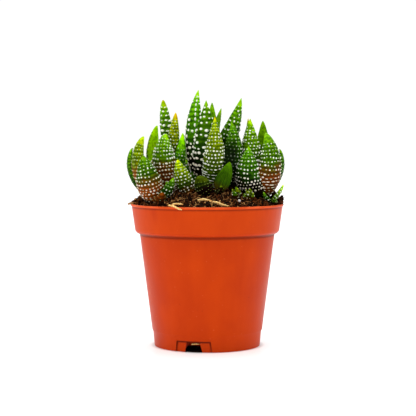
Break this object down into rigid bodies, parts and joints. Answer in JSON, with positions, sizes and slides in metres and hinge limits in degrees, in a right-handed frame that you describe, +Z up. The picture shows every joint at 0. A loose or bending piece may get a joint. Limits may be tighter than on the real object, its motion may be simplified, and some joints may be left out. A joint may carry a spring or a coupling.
{
  "type": "potted haworthia",
  "caption": "Clump of small haworthia rosettes with white-dotted pointed leaves, growing in peat in a round tapering plastic pot.",
  "frame": {"origin": "under the middle of the pot, on the surface that it stands on", "axes": "+Z up along the pot's axis, +X to the right and +Y away from the camera in the picture"},
  "size_m": [0.0619, 0.062, 0.1006],
  "materials": {
    "pot": "satin moulded plastic, terracotta orange",
    "soil": "rough dry peat",
    "leaf": "firm satin leaf with raised white dots",
    "root": "dry fibrous root",
    "grain": "porous white mineral grain"
  },
  "bodies": {
    "root": {"pot": "pot", "soil": "soil", "rosette_front_left": "leaf", "rosette_mid_left": "leaf", "rosette_centre": "leaf", "rosette_right": "leaf", "rosette_back": "leaf", "rosette_back_left": "leaf", "rosette_back_right": "leaf", "pup_front_left": "leaf", "pup_front_middle": "leaf", "pup_rim": "leaf", "pup_right_a": "leaf", "pup_right_b": "leaf", "root_long": "root", "root_forked": "root", "straw_left": "root", "perlite_grain": "grain"}
  },
  "joints": []
}
